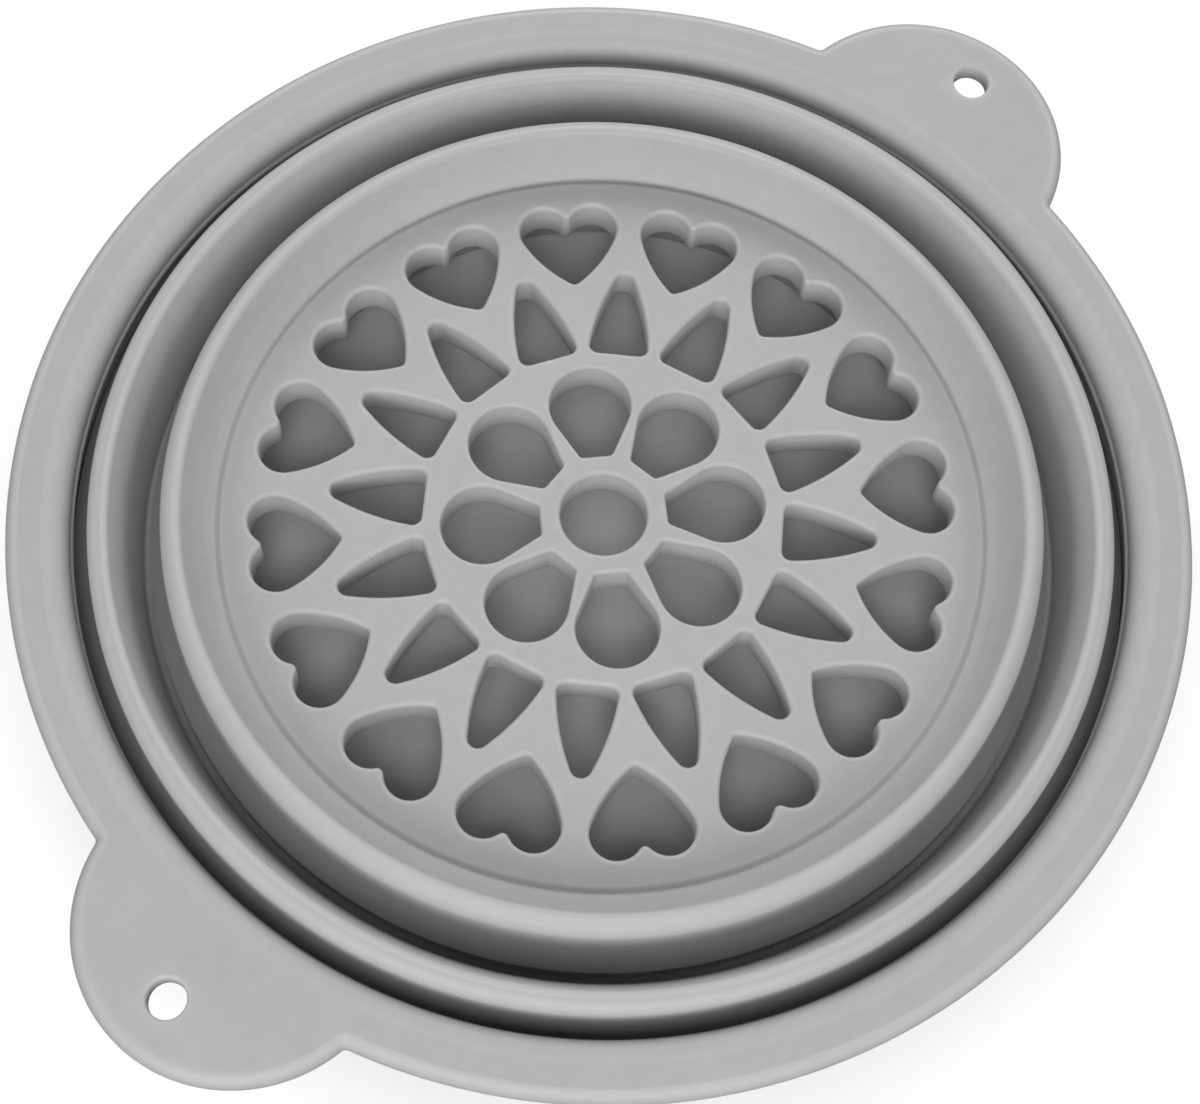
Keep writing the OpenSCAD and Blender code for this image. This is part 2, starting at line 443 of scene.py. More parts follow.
# %% Middle wall
LIP_RISE = 2.7
GUTTER_DEPTH = 0.6
MIDDLE_FLANK = 1.6
LIP_INSET = 0.3
lip_z = fold_z + LIP_RISE
gutter_z = fold_z - GUTTER_DEPTH
middle_flank_r = middle_ridge_r + MIDDLE_FLANK
inner_lip_r = middle_fold_r - fold_bead_r - LIP_INSET
outer_lip_r = upper_fold_r - fold_bead_r


def middle_wall_section():
    """Round the ring: lip, gutter, bulged inner face, crest, flank, back under the wall, fold bead."""
    return rounded([
        (inner_lip_r, lip_z, 0),
        (inner_lip_r + WEB_T, lip_z, 0),
        (inner_lip_r + WEB_T, gutter_z, 0.65),
        (inner_lip_r + WEB_T + 1.4, gutter_z, 0.65),
        (middle_fold_r + 2.3, middle_top - 7.2, 14),
        (middle_ridge_r - 2.3, middle_top, 1.2),
        (middle_flank_r, middle_top - 1.1, 2.7),
        (middle_flank_r, flank_z, 0),
        (middle_flank_r - WEB_T, flank_z, 0),
        (middle_flank_r - WEB_T - 0.6, middle_top - 2.7, 0.6),
        (middle_ridge_r - 1.6, middle_top - 3.4, 1.2),
        (middle_fold_r + 3.8, middle_top - 10, 8),
        (middle_fold_r + fold_bead_r, fold_z, 3),
        (middle_fold_r + fold_bead_r - 0.4, fold_z - fold_bead_r, 1.8),
        (inner_lip_r, fold_z - fold_bead_r, 1.8),
    ])


middle_wall_skin = skin("middle_wall_moulding", *turned(middle_wall_section()))
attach(middle_wall_skin, "middle_tier")
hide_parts("middle_wall", "middle_ridge_bead", "middle_fold_bead")

# %% [markdown]
# ## The folding webs
#
# A web is the soft skin that turns inside out as its tier drops. Both faces follow one curve, plumb at the
# flank above and leaning out to the lip below, one wall thickness apart.

# %% Folding webs
WEB_ROWS = 28


def web_section(top_r, foot_r):
    """Outer face at radius top + lean s cubed, with s from 0 at the flank to 1 at the lip; the inner face is
    one web thickness inside it."""
    s = np.linspace(0, 1, WEB_ROWS)
    z = flank_z + (lip_z - flank_z) * s
    r = top_r + (foot_r - top_r) * s ** 3
    outer = np.stack([r, z], 1)
    inner = np.stack([r - WEB_T, z], 1)[::-1]
    return np.concatenate([outer, inner])


def folding_web(name, node, top_r, foot_r):
    """One web's skin, baked in place of the CAD web, which is hidden."""
    piece = skin(name, *turned(web_section(top_r, foot_r)))
    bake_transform(piece)
    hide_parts(node)
    return piece


inner_web = folding_web("inner_folding_web", "inner_fold_web", lower_flank_r, inner_lip_r + WEB_T)
outer_web = folding_web("outer_folding_web", "outer_fold_web", middle_flank_r, outer_lip_r + WEB_T)

# %% [markdown]
# ## Outlines made of arcs that touch
#
# Hearts, spikes, petals, the hub hole and the rim with its two ears all have outlines of one kind: a few
# circles, joined one to the next by arcs that touch both. A link of large radius is nearly straight, and one
# below zero is a hollow, such as the notch of a heart or the corner between an ear and the rim. The function
# gives each point's outward normal too, so that a lip can be rolled along the outline afterwards.

# %% Tangent outlines
def link_centre(a, b, f):
    """Centre of the arc of radius f that touches circles a and b: it lies |f - ra| from a and |f - rb| from
    b, on the left of the way from a to b, or on the right for a hollow."""
    ca, cb = np.array(a[:2], float), np.array(b[:2], float)
    da, db = abs(f - a[2]), abs(f - b[2])
    d = np.linalg.norm(cb - ca)
    u = (cb - ca) / d
    along = (da * da - db * db + d * d) / (2 * d)
    off = math.sqrt(max(0.0, da * da - along * along))
    return ca + along * u + math.copysign(off, f) * np.array([-u[1], u[0]])


def arc(centre, start, end, way, spacing, bend):
    """Points and left-to-right normals along an arc, its end left out for the next arc to start with."""
    a0 = math.atan2(start[1] - centre[1], start[0] - centre[0])
    a1 = math.atan2(end[1] - centre[1], end[0] - centre[0])
    radius = math.hypot(*(start - centre))
    turn = (way * (a1 - a0)) % TAU
    steps = 2 * max(1, math.ceil(max(turn * radius / spacing, turn / bend) / 2))
    out = directions(a0 + way * turn * np.arange(steps) / steps)
    return centre + radius * out, way * out


def tangent_outline(circles, links, spacing, bend):
    """Closed outline round the circles, anticlockwise, with its outward normals. Its points are no further
    apart than the spacing, and turn by no more than the bend from one to the next."""
    count = len(circles)
    hubs = [link_centre(circles[i], circles[(i + 1) % count], links[i]) for i in range(count)]

    def touch(i, k):
        c = np.array(circles[i][:2], float)
        out = math.copysign(1, links[k]) * (c - hubs[k])
        return c + circles[i][2] * out / np.linalg.norm(out)

    places, normals = [], []
    for i in range(count):
        j = (i + 1) % count
        centre = np.array(circles[i][:2], float)
        for part in (arc(centre, touch(i, i - 1), touch(i, i), 1, spacing, bend),
                     arc(hubs[i], touch(i, i), touch(j, i), math.copysign(1, links[i]), spacing, bend)):
            places.append(part[0])
            normals.append(part[1])
    return np.concatenate(places), np.concatenate(normals)


# %% [markdown]
# ## The pierced floor
#
# Sixteen hearts, sixteen spikes, eight petals and a hub hole go right through the thick plate. Cutting them
# with booleans would leave hard edges, so the plate is built the other way round: each opening is a short
# tube with a rolled lip at both ends, carried along its outline, and a constrained Delaunay triangulation
# fills the flat land between the lips, top and bottom.

# %% Openings
LIP_R = 0.9
PETAL_LIP_R = 0.72
LAND_SUPPORT = 0.12
OPENING_SPACING = 0.9
OPENING_BEND = math.radians(12)
STRAIGHT = 5000  # a link of so large a radius bows by a few thousandths of a millimetre
HEART_RING = 60
SPIKE_RING = 42.2
PETAL_RING = 22.3
HUB_R = 8.4
HUB_STEPS = 64
PATTERN_MARGIN = 6.6
PATTERN_DRAWN_R = 67.5
pattern_scale = (floor_r - PATTERN_MARGIN) / PATTERN_DRAWN_R

# Each shape holds its circles, as (way out along the ring's radius, way across, radius), and its link radii.
heart = ([(-8.5, 0, 1.2), (2.7, -4.8, 5), (2.7, 4.8, 5)], [26, -1.2, 26])
spike = ([(8.4, 0, 2), (-5.8, 4, 1.8), (-5.8, -4, 1.8)], [46, STRAIGHT, 46])
petal = ([(1, 0, 8), (-9, 2.4, 1.1), (-9, -2.4, 1.1)], [STRAIGHT, STRAIGHT, STRAIGHT])


def ring_of(shape, ring, count, first, lip=LIP_R):
    """The shape's outline, set at the ring's radius and repeated round the axis, and its lip's radius."""
    place, normal = tangent_outline(*shape, OPENING_SPACING, OPENING_BEND)
    place = (place + [ring, 0]) * pattern_scale
    angle = first + np.arange(count) * TAU / count
    turn = np.stack([np.cos(angle), np.sin(angle), -np.sin(angle), np.cos(angle)], 1).reshape(-1, 2, 2)
    return [(place @ t, normal @ t, lip) for t in turn]


def hub_hole():
    """The round hole in the middle, as a list of one outline."""
    normal = circle(HUB_STEPS)
    return [(HUB_R * pattern_scale * normal, normal, LIP_R)]


openings = (ring_of(heart, HEART_RING, 16, 0) + ring_of(spike, SPIKE_RING, 16, TAU / 32)
            + ring_of(petal, PETAL_RING, 8, 0, PETAL_LIP_R) + hub_hole())
print(len(openings), "openings")

# %% [markdown]
# ## A lip for each opening
#
# An opening's wall is a strip: rows of points that follow the outline, each row with its own distance into
# the plate and its own height. The lip's quarter round is a handful of such rows. One row beyond each lip
# lies flat on the plate and holds the smooth shading level where the land begins.

# %% Lips and walls of the openings
LIP_STEPS = 6
WALL_SUPPORT = 0.4


def opening_rows(lip_r):
    """Rows of (offset into the plate, height): support, upper lip, wall, lower lip, support."""
    a = np.linspace(0, math.pi / 2, LIP_STEPS)
    lip = np.stack([lip_r * (1 - np.sin(a)), lip_r * (1 - np.cos(a))], 1)
    upper = np.stack([lip[:, 0], plate_top - lip[:, 1]], 1)
    lower = np.stack([lip[::-1, 0], plate_under + lip[::-1, 1]], 1)
    ends = [[lip_r + LAND_SUPPORT, plate_top], [lip_r + LAND_SUPPORT, plate_under]]
    wall = [[0, plate_top - lip_r - WALL_SUPPORT], [0, plate_under + lip_r + WALL_SUPPORT]]
    return np.concatenate([ends[:1], upper, wall, lower, ends[1:]])


def opening_tube(place, normal, rows, first):
    """Grid of the rows along one outline."""
    points = lifted(place[None] + normal[None] * rows[:, :1, None], rows[:, 1]).reshape(-1, 3)
    return points, grid_faces(len(rows), len(place), first, close_rows=False)


def inside(points, loop):
    """True for points inside a closed loop, by counting the loop's edges that lie to their right."""
    a, b = loop, np.roll(loop, -1, axis=0)
    x, y = points[:, :1], points[:, 1:]
    spans = (a[:, 1] > y) != (b[:, 1] > y)
    rise = np.where(b[:, 1] == a[:, 1], 1, b[:, 1] - a[:, 1])
    cross = a[:, 0] + (y - a[:, 1]) * (b[:, 0] - a[:, 0]) / rise
    return (spans & (x < cross)).sum(1) % 2 == 1


# %% [markdown]
# ## Filling the land
#
# The flat land between 41 openings has no grid to follow. `delaunay_2d_cdt` triangulates all points at once
# and keeps every outline as edges. It also fills the holes, so a triangle is kept only if its middle lies in
# the plate and in no hole. The same triangles serve the top and, turned over, the underside.

# %% Floor plate
def land_triangles(loops):
    """Delaunay triangles between the loops: the first loop is the rim, the others are holes."""
    flat = np.concatenate(loops)
    starts = np.cumsum([0] + [len(p) for p in loops])
    edges = []
    for start, loop in zip(starts.tolist(), loops):
        edges += [(start + k, start + (k + 1) % len(loop)) for k in range(len(loop))]
    found = delaunay_2d_cdt([tuple(p) for p in flat.tolist()], edges, [], 0, 1e-6)
    triangles = np.array(found[2])
    middle = flat[triangles].mean(1)
    keep = inside(middle, loops[0])
    for loop in loops[1:]:
        keep &= ~inside(middle, loop)
    triangles = triangles[keep]
    a, b, c = (flat[triangles[:, k]] for k in range(3))
    below = (b[:, 0] - a[:, 0]) * (c[:, 1] - a[:, 1]) < (b[:, 1] - a[:, 1]) * (c[:, 0] - a[:, 0])
    triangles[below] = triangles[below][:, ::-1]
    return triangles


def floor_plate():
    """Top land, bottom land, one tube per opening, and the plain outer edge, welded by number."""
    edge = seat_r * circle(ROUND_STEPS)
    loops = [edge] + [place + normal * (lip + LAND_SUPPORT) for place, normal, lip in openings]
    points = [np.c_[edge, np.full(len(edge), plate_top)], np.c_[edge, np.full(len(edge), plate_under)]]
    faces = [grid_faces(2, len(edge), 0, close_rows=False)]
    first = 2 * len(edge)
    top_index, low_index = [np.arange(len(edge))], [np.arange(len(edge)) + len(edge)]
    for place, normal, lip in openings:
        rows = opening_rows(lip)
        tube, quads = opening_tube(place, normal, rows, first)
        points.append(tube)
        faces.append(quads[:, ::-1])
        top_index.append(first + np.arange(len(place)))
        low_index.append(first + (len(rows) - 1) * len(place) + np.arange(len(place)))
        first += len(tube)
    triangles = land_triangles(loops)
    top, low = np.concatenate(top_index)[triangles], np.concatenate(low_index)[triangles]
    for three in (top, low[:, ::-1]):
        faces.append(three[:, [0, 1, 2, 2]])
    return np.concatenate(points), np.concatenate(faces)


LAND_FULL_BEND = 0.3
floor_skin = skin("pierced_floor_plate", *floor_plate(), full_bend=LAND_FULL_BEND)
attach(floor_skin, "floor_tier")
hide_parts("floor_grille")

# %% [markdown]
# ## The rim with its ears
#
# Rim, ears and upper wall are one surface in the mould. Inside the shoulder it is a turned section. Outside
# it must reach the outline, which is round along the rim and swells into the two ears. So each column of the
# grid runs from the shoulder straight out to its own point of the outline, and rolls over the edge there
# along the outline's normal.

# %% Rim outline
CORNER_R = 1.2
EDGE_TOP_R = 2.4
EDGE_LOW_R = 1.2
EDGE_SPACING = 2.2
EDGE_BEND = math.radians(2.5)
ear_tip, ear_half = (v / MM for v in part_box("hanging_ear_right")[1][:2])


def ear_circle():
    """The circle through the ear's tip whose arc meets the flange where the ear is widest: with c = tip - R,
    (x - c)^2 + y^2 = R^2 gives R = ((x - tip)^2 + y^2) / (2 (tip - x))."""
    meet = math.sqrt(rim_r ** 2 - ear_half ** 2)
    radius = ((meet - ear_tip) ** 2 + ear_half ** 2) / (2 * (ear_tip - meet))
    return ear_tip - radius, radius


ear_x, ear_r = ear_circle()
rim_circles = [(0, 0, rim_r), (ear_x, 0, ear_r), (0, 0, rim_r), (-ear_x, 0, ear_r)]
rim_edge, rim_out = tangent_outline(rim_circles, [-CORNER_R] * 4, EDGE_SPACING, EDGE_BEND)
print(f"ear circle: radius {ear_r:.1f} mm, {ear_x:.1f} mm from the axis; {len(rim_edge)} columns")

# %% Rim rows
SHOULDER_R = 4.5
MOUTH_INSET = 1.9
FLAT_ROWS = 16
LAST_SHARE = 0.985  # the outermost flat row stands just inside the edge roll
mouth_r = upper_fold_r - MOUTH_INSET
flat_start = mouth_r + SHOULDER_R + 0.3
under_start = flat_start + 0.6


def upper_wall_section():
    """From the shoulder down the mouth to the gutter and lip, round the fold bead and up to the flange."""
    lip_out = outer_lip_r + WEB_T
    return rounded([
        (flat_start, rim_top, 0),
        (mouth_r, rim_top, SHOULDER_R),
        (mouth_r + 0.1, rim_top - 5.4, 0.3),
        (mouth_r - 0.3, rim_top - 5.9, 0.3),
        (mouth_r - 0.3, rim_top - 6.7, 0.3),
        (mouth_r + 0.4, rim_top - 7.6, 0.4),
        (lip_out + 0.7, lip_z + 1, 1),
        (lip_out + 0.55, gutter_z, 0.25),
        (lip_out, gutter_z, 0.25),
        (lip_out, lip_z, 0),
        (outer_lip_r, lip_z, 0),
        (outer_lip_r, fold_z - fold_bead_r, 1.9),
        (upper_reach, fold_z - fold_bead_r, 1.9),
        (upper_reach, fold_z + 1, 2),
        (mouth_r + 2.2, rim_under - 2, 1),
        (mouth_r + 2.6, rim_under, 1.4),
        (under_start, rim_under, 0),
    ], closed=False)


def edge_roll():
    """Rows of (inset from the outline, height) over the edge: top round, short side, lower round."""
    a = np.linspace(0, math.pi / 2, 9)[:, None]
    top = np.hstack([EDGE_TOP_R * (1 - np.sin(a)), rim_top - EDGE_TOP_R * (1 - np.cos(a))])
    b = np.linspace(math.pi / 2, 0, 6)[:, None]
    low = np.hstack([EDGE_LOW_R * (1 - np.sin(b)), rim_under + EDGE_LOW_R * (1 - np.cos(b))])
    return np.concatenate([top, low])


around = directions(np.arctan2(rim_edge[:, 1], rim_edge[:, 0]))


def flat_rows(inner, height, inset):
    """Rows of points from the circle of radius inner to the outline's inset, at one height."""
    shares = np.append(np.arange(1, FLAT_ROWS) / FLAT_ROWS, LAST_SHARE)
    start, end = inner * around, rim_edge - rim_out * inset
    return lifted(start + (end - start) * shares[:, None, None], np.full(FLAT_ROWS, height))


def rim_grid():
    """All rows of the closed grid, and the numbers of its first top and first underside flat row."""
    section, roll = upper_wall_section()[::-1], edge_roll()
    wall = lifted(section[:, :1, None] * around, section[:, 1])
    top = flat_rows(flat_start, rim_top, EDGE_TOP_R)
    rolled = lifted(rim_edge - rim_out * roll[:, :1, None], roll[:, 1])
    low = flat_rows(under_start, rim_under, EDGE_LOW_R)[::-1]
    rows = np.concatenate([wall, top, rolled, low])
    return rows, len(wall), len(wall) + len(top) + len(rolled)


# %% [markdown]
# ## The hanging holes
#
# Each ear hangs on a peg by one round hole. A small window of quads is lifted out of the grid above the hole
# and another below it, and rings of points that turn from the window's square into the hole's circle fill the
# gap, roll over the lip and go down the wall. Every ring has as many points as the window has, so the patch
# welds to the grid point by point.

# %% Hanging holes
WINDOW_ROWS = (6, 13)
WINDOW_HALF = 5
HOLE_LIP = 0.7


def window_loop(row_a, row_b, column_a, column_b, columns):
    """Numbers of the grid points round a window, once round."""
    step = 1 if row_b > row_a else -1
    across = np.arange(column_a, column_b)
    down = np.arange(row_a, row_b, step)
    sides = [row_a * columns + across % columns,
             down * columns + column_b % columns,
             row_b * columns + (across + 1)[::-1] % columns,
             (down + step)[::-1] * columns + column_a % columns]
    return np.concatenate(sides)


def hole_rows():
    """Rows of (radius, height) from the top window in, over the lip, down the wall and out below."""
    a = np.linspace(0, math.pi / 2, LIP_STEPS)[:, None]
    q = HOLE_LIP
    top = np.hstack([ear_hole_r + q * (1 - np.sin(a)), rim_top - q * (1 - np.cos(a))])
    low = np.hstack([top[::-1, :1], rim_under + rim_top - top[::-1, 1:]])
    ends = [[ear_hole_r + q + SUPPORT, rim_top], [ear_hole_r + q + SUPPORT, rim_under]]
    return np.concatenate([ends[:1], top, low, ends[1:]])


def hole_patch(points, top_loop, low_loop, centre, first):
    """Rings through a hanging hole, welded to the window in the top and the one in the underside."""
    aim = points[top_loop, :2] - centre
    aim /= np.linalg.norm(aim, axis=1)[:, None]
    rows = hole_rows()
    rings = lifted(centre + aim * rows[:, :1, None], rows[:, 1])
    count = len(top_loop)
    index = np.concatenate([top_loop[None], first + np.arange(len(rows) * count).reshape(-1, count),
                            low_loop[None]])
    after = np.roll(index, -1, axis=1)
    quads = np.stack([index[:-1], index[1:], after[1:], after[:-1]], -1).reshape(-1, 4)
    return rings.reshape(-1, 3), quads


def rim_with_ears():
    """The closed grid, less a window at each ear above and below, plus the patch through each hole."""
    rows, top_row, low_row = rim_grid()
    columns = rows.shape[1]
    points = rows.reshape(-1, 3)
    faces = grid_faces(len(rows), columns)
    face_row, face_column = faces[:, 0] // columns, faces[:, 0] % columns
    keep = np.ones(len(faces), bool)
    first = len(points)
    extra_points, extra_faces = [], []
    for side in (1, -1):
        tip = int(np.argmax(side * rim_edge[:, 0]))
        a, b = WINDOW_ROWS
        top_a, top_b = top_row + a, top_row + b
        low_a, low_b = low_row + FLAT_ROWS - 1 - b, low_row + FLAT_ROWS - 1 - a
        column = (face_column - tip + WINDOW_HALF) % columns
        near = column < 2 * WINDOW_HALF
        keep &= ~(near & (face_row >= top_a) & (face_row < top_b))
        keep &= ~(near & (face_row >= low_a) & (face_row < low_b))
        across = (tip - WINDOW_HALF, tip + WINDOW_HALF)
        top_loop = window_loop(top_a, top_b, *across, columns)
        low_loop = window_loop(low_b, low_a, *across, columns)
        centre = np.array([side * ear_hole_x, 0.0])
        ring, quads = hole_patch(points, top_loop, low_loop, centre, first)
        extra_points.append(ring)
        extra_faces.append(quads)
        first += len(ring)
    return np.concatenate([points] + extra_points), np.concatenate([faces[keep]] + extra_faces)


rim_skin = skin("eared_rim_moulding", *rim_with_ears())
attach(rim_skin, "rim")
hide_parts("rim_flange", "upper_wall", "upper_fold_bead", "hanging_ear_left", "hanging_ear_right")

# %% [markdown]
# ## Finishes
#
# The stiff parts are polypropylene, moulded against a spark-eroded mould face, which prints a fine even
# grain and leaves them matt. The webs are the softer elastomer of the second shot: the same grey, a little
# deeper and duller. A painted grain would need every piece unwrapped, so each finish is built from noise on
# Object coordinates instead. It stays with the piece, and its scale is worked out from a size in millimetres.

# %% Material helpers
def linear(code):
    """sRGB hex to linear RGBA: c / 12.92 below 0.04045, else ((c + 0.055) / 1.055) to the power 2.4."""
    c = np.array([int(code[i:i + 2], 16) for i in (1, 3, 5)]) / 255
    value = np.where(c <= 0.04045, c / 12.92, ((c + 0.055) / 1.055) ** 2.4)
    return (*value.tolist(), 1)


def add(tree, kind, inputs=None, **settings):
    """One node: settings are its own options, and each input is linked to a socket or set to a value."""
    node = tree.nodes.new("ShaderNode" + kind)
    for key, value in settings.items():
        setattr(node, key, value)
    for key, value in (inputs or {}).items():
        if isinstance(value, bpy.types.NodeSocket):
            tree.links.new(value, node.inputs[key])
        else:
            node.inputs[key].default_value = value
    return node


def per_mm(size):
    """Noise scale at which one blotch is about size millimetres across."""
    return 1 / (size * MM)


def new_finish(name, constants):
    """A material with a principled shader, its constants set on the shader's own sockets."""
    material = bpy.data.materials.new(name)
    material.use_nodes = True
    shader = material.node_tree.nodes["Principled BSDF"]
    for key, value in constants.items():
        shader.inputs[key].default_value = value
    return material, material.node_tree, shader


# %% Moulded plastic
GRAIN_MM = 0.55  # the real spark grain is about 0.15 mm, drawn coarser so that it shows
FLOW_MM = 24
MARBLE_MM = 3.5
UNEVEN = 0.06  # how far the roughness strays from its middle value, up or down
POLISH = 0.2  # how much roughness a fully rubbed edge loses


def moulded_plastic(name, deep, pale, worn_and_highlight_grey, rough, relief_mm, ior):
    """Two greys drift over the flow length, a fainter marbling lies over them, the grain gives bump and an
    uneven sheen, and upward crests go smoother where handling polishes them and a shade lighter, partly from
    handling and partly as a painted highlight."""
    material, tree, shader = new_finish(name, {"IOR": ior, "Specular IOR Level": 0.5})
    place = add(tree, "TexCoord").outputs["Object"]
    flow = add(tree, "TexNoise", {"Vector": place, "Scale": per_mm(FLOW_MM), "Detail": 3})
    marble = add(tree, "TexNoise", {"Vector": place, "Scale": per_mm(MARBLE_MM), "Detail": 4})
    grain = add(tree, "TexNoise", {"Vector": place, "Scale": per_mm(GRAIN_MM), "Detail": 2, "Roughness": 0.6})
    wear_and_highlight = add(tree, "Attribute", attribute_name="edge_wear").outputs["Fac"]
    both = add(tree, "Math", {0: flow.outputs["Fac"], 1: marble.outputs["Fac"]}, operation="ADD")
    drift = add(tree, "MapRange", {"Value": both.outputs[0], "From Min": 0.7, "From Max": 1.3})
    body = add(tree, "Mix", {0: drift.outputs[0], 6: linear(deep), 7: linear(pale)}, data_type="RGBA")
    patchy = add(tree, "MapRange", {"Value": grain.outputs["Fac"], "To Min": 0.5, "To Max": 1.1})
    rubbed_and_highlit = add(tree, "Math", {0: wear_and_highlight, 1: patchy.outputs[0]}, operation="MULTIPLY", use_clamp=True)
    # Painted highlight and polish: the upward crests are mixed towards the lighter grey.
    colour = add(tree, "Mix", {0: rubbed_and_highlit.outputs[0], 6: body.outputs[2], 7: linear(worn_and_highlight_grey)}, data_type="RGBA")
    sheen = add(tree, "MapRange", {"Value": grain.outputs["Fac"], "From Min": 0.3, "From Max": 0.7,
                                   "To Min": rough - UNEVEN, "To Max": rough + UNEVEN})
    smoother = add(tree, "Math", {0: rubbed_and_highlit.outputs[0], 1: -POLISH, 2: sheen.outputs[0]},
                   operation="MULTIPLY_ADD")
    bump = add(tree, "Bump", {"Height": grain.outputs["Fac"], "Strength": 0.35, "Distance": relief_mm * MM})
    tree.links.new(colour.outputs[2], shader.inputs["Base Color"])
    tree.links.new(smoother.outputs[0], shader.inputs["Roughness"])
    tree.links.new(bump.outputs[0], shader.inputs["Normal"])
    return material


# The third grey is the lighter one of the upward crests, partly from handling and partly a painted highlight.
shell_finish = moulded_plastic("spark_grained_polypropylene", "#999999", "#9E9E9E", "#ABABAB",
                               rough=0.6, relief_mm=0.05, ior=1.49)
web_finish = moulded_plastic("soft_thermoplastic_elastomer", "#929292", "#979797", "#A3A3A3",
                             rough=0.72, relief_mm=0.04, ior=1.5)
for piece in (floor_skin, lower_wall_skin, middle_wall_skin, rim_skin):
    piece.data.materials.append(shell_finish)
for piece in (inner_web, outer_web):
    piece.data.materials.append(web_finish)
print("moulded finishes:", shell_finish.name, web_finish.name)

# %% [markdown]
# ## The hoop's steel
#
# A drawn wire hoop is moulded into the rim and keeps it round. It is hidden in the closed plastic, but a
# reader who hides the rim should find metal there, so the CAD piece stays and gets a finish. Drawing leaves
# lines along the wire. Noise stretched along one axis would draw them straight, so it is read in polar
# coordinates, coarsely round the hoop and finely across it.

# %% Drawn steel
DRAW_LINE_MM = 0.3  # real draw lines are finer still
DRAW_LENGTH_MM = 40


def drawn_steel():
    """Draw lines run along the hoop, so the noise reads radius and height finely and the way round
    coarsely."""
    material, tree, shader = new_finish("drawn_steel_wire", {"Metallic": 1})
    place = add(tree, "TexCoord").outputs["Object"]
    split = add(tree, "SeparateXYZ", {0: place})
    flat = add(tree, "VectorMath", {0: place, 1: (1, 1, 0)}, operation="MULTIPLY")
    radius = add(tree, "VectorMath", {0: flat.outputs[0]}, operation="LENGTH")
    round_way = add(tree, "Math", {0: split.outputs[1], 1: split.outputs[0]}, operation="ARCTAN2")
    along = add(tree, "Math", {0: round_way.outputs[0], 1: rim_r * MM * DRAW_LINE_MM / DRAW_LENGTH_MM},
                operation="MULTIPLY")
    unrolled = add(tree, "CombineXYZ", {0: radius.outputs["Value"], 1: along.outputs[0], 2: split.outputs[2]})
    lines = add(tree, "TexNoise", {"Vector": unrolled.outputs[0], "Scale": per_mm(DRAW_LINE_MM), "Detail": 3})
    tint = add(tree, "Mix", {0: lines.outputs["Fac"], 6: linear("#A8A9AA"), 7: linear("#C9CACB")},
               data_type="RGBA")
    rough = add(tree, "MapRange", {"Value": lines.outputs["Fac"], "To Min": 0.22, "To Max": 0.42})
    bump = add(tree, "Bump", {"Height": lines.outputs["Fac"], "Strength": 0.3, "Distance": 0.01 * MM})
    tree.links.new(tint.outputs[2], shader.inputs["Base Color"])
    tree.links.new(rough.outputs[0], shader.inputs["Roughness"])
    tree.links.new(bump.outputs[0], shader.inputs["Normal"])
    return material


hoop = frame["nodes"]["rim_hoop"]
hoop.data.materials.clear()
hoop.data.materials.append(drawn_steel())
print("hoop finish:", hoop.data.materials[0].name)

# %% [markdown]
# ## Floor, with painted shade under the basket
#
# The floor is a small matt grey sheet that thins out to nothing round the basket, in front of a pale
# backdrop.
# Its grey is painted shade under the basket, seen through the openings and round the foot. It rides on the
# tier that carries the foot ring, because the basket always stands on that ring, so the sheet stays under it
# when the tiers are let down.

# %% Floor
FLOOR_REACH = 128
FLOOR_SPOKES = 96
FADE_FROM = 72
FIBRE_MM = 4


def pale_floor():
    """Rings of points out to FLOOR_REACH, closed by a fan at the centre."""
    radius = np.array([40, 70, 100, FLOOR_REACH], float)
    rings = lifted(radius[:, None, None] * circle(FLOOR_SPOKES), 0 * radius).reshape(-1, 3)
    spoke = np.arange(FLOOR_SPOKES)
    after = np.roll(spoke, -1)
    fan = np.stack([np.full(FLOOR_SPOKES, len(rings)), spoke, after, after], 1)
    faces = np.concatenate([grid_faces(len(radius), FLOOR_SPOKES, close_rows=False), fan])
    mesh = bpy.data.meshes.new("pale_floor")
    fill_mesh(mesh, np.concatenate([rings, [[0, 0, 0]]]), faces)
    sheet = bpy.data.objects.new("pale_floor", mesh)
    bpy.context.scene.collection.objects.link(sheet)
    return sheet


def shade_painted_paper():
    """Paper with painted shade: two greys over a fibre length, no shine, darker than the backdrop. It thins
    out to clear between FADE_FROM and FLOOR_REACH from the centre, so that the painted shade melts into the
    backdrop."""
    material, tree, shader = new_finish("uncoated_paper",
                                        {"IOR": 1.5, "Specular IOR Level": 0.1, "Roughness": 0.9})
    place = add(tree, "TexCoord").outputs["Object"]
    fibre = add(tree, "TexNoise", {"Vector": place, "Scale": per_mm(FIBRE_MM), "Detail": 4})
    # Painted shade: a grey darker than the backdrop, lying under the basket.
    colour = add(tree, "Mix", {0: fibre.outputs["Fac"], 6: linear("#B9B9B9"), 7: linear("#BDBDBD")},
                 data_type="RGBA")
    away = add(tree, "VectorMath", {0: place}, operation="LENGTH")
    cover = add(tree, "MapRange", {"Value": away.outputs["Value"], "From Min": FADE_FROM * MM,
                                   "From Max": FLOOR_REACH * MM, "To Min": 1, "To Max": 0},
                interpolation_type="SMOOTHSTEP")
    tree.links.new(colour.outputs[2], shader.inputs["Base Color"])
    tree.links.new(cover.outputs[0], shader.inputs["Alpha"])
    return material


floor_sheet = pale_floor()
floor_sheet.data.materials.append(shade_painted_paper())
floor_sheet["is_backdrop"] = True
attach(floor_sheet, "floor_tier")
print("floor sheet", FLOOR_REACH, "mm in radius")

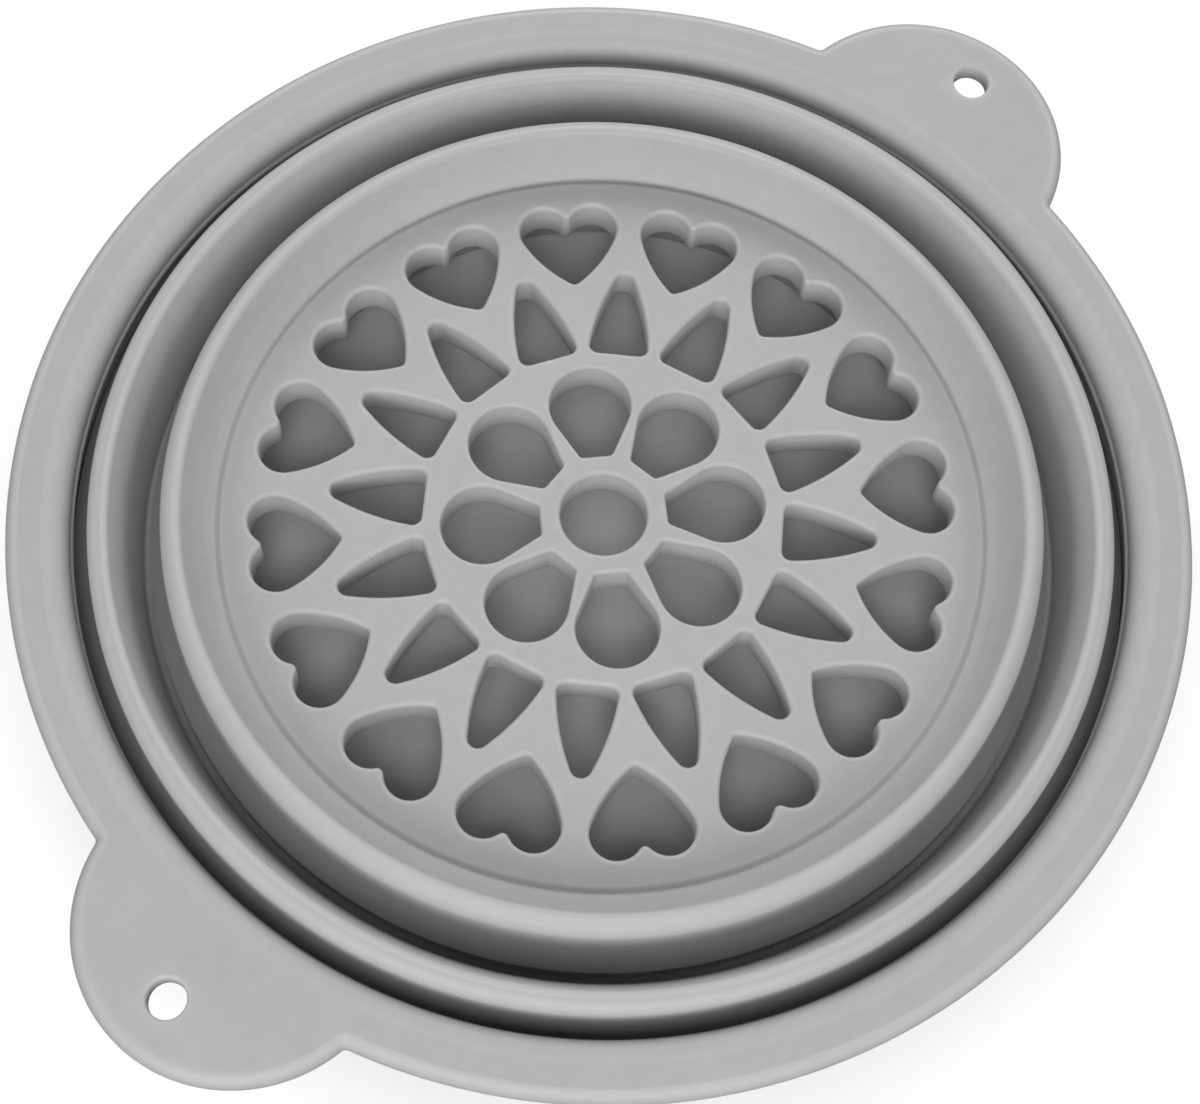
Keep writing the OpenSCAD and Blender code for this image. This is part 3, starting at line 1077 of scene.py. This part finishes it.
# %% [markdown]
# ## Light
#
# The light is a ring of large soft panels, low enough to brighten the crests from every side and to leave
# the folds between them dark. The panels before and behind the basket are stronger than those beside it, so
# the folds are darkest at the sides. One higher panel in front opens up the flanks that face the camera. A
# world light is even and has no direction, which would fill the folds, so only a little of it is used.

# %% Lights
RING_COUNT = 12
PANEL_DISTANCE = 1100
RING_HEIGHT = math.radians(26)
RING_POWER = 2.3
RING_LEAN = 0.85
PANEL_SIZE = 0.5
FILL_HEIGHT = math.radians(56)
FILL_POWER = 3.9
WORLD_LEVEL = 0.1
BACKDROP_LEVEL = 1.0


def panel(name, azimuth, height, power):
    """A square soft light at that azimuth and height angle, turned to face the basket."""
    light = bpy.data.lights.new(name, "AREA")
    light.size = PANEL_SIZE
    light.energy = power
    lamp = bpy.data.objects.new(name, light)
    lamp.visible_camera = False
    face_aim(lamp, 0, PANEL_DISTANCE, azimuth, height)


for k in range(RING_COUNT):
    turned_by = k * TAU / RING_COUNT
    panel(f"side_panel_{k}", VIEW_AZIMUTH + turned_by, RING_HEIGHT,
          RING_POWER * (1 + RING_LEAN * math.cos(2 * turned_by)))
panel("front_fill", VIEW_AZIMUTH, FILL_HEIGHT, FILL_POWER)


def pale_backdrop():
    """A world that shows pale straight behind the basket, but lends the folds only a little light."""
    world = bpy.data.worlds.new("studio")
    bpy.context.scene.world = world
    world.use_nodes = True
    tree = world.node_tree
    seen = add(tree, "LightPath").outputs["Is Camera Ray"]
    level = add(tree, "MapRange", {"Value": seen, "To Min": WORLD_LEVEL, "To Max": BACKDROP_LEVEL})
    tree.nodes["Background"].inputs["Color"].default_value = (1, 1, 1, 1)
    tree.links.new(level.outputs[0], tree.nodes["Background"].inputs["Strength"])


pale_backdrop()
bpy.context.scene.view_settings.view_transform = "Standard"
print(RING_COUNT + 1, "panels")

# %% [markdown]
# ## Measuring the result
#
# The skin has to stay within the CAD model's box, so how far it reaches outside that box is printed.

# %% Compare the boxes and finish
skin_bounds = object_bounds()
below = np.array(cad_bounds[0]) - np.array(skin_bounds[0])
beyond = np.array(skin_bounds[1]) - np.array(cad_bounds[1])
print(f"outside the CAD box by at most {max(below.max(), beyond.max()) / MM:.2f} mm")
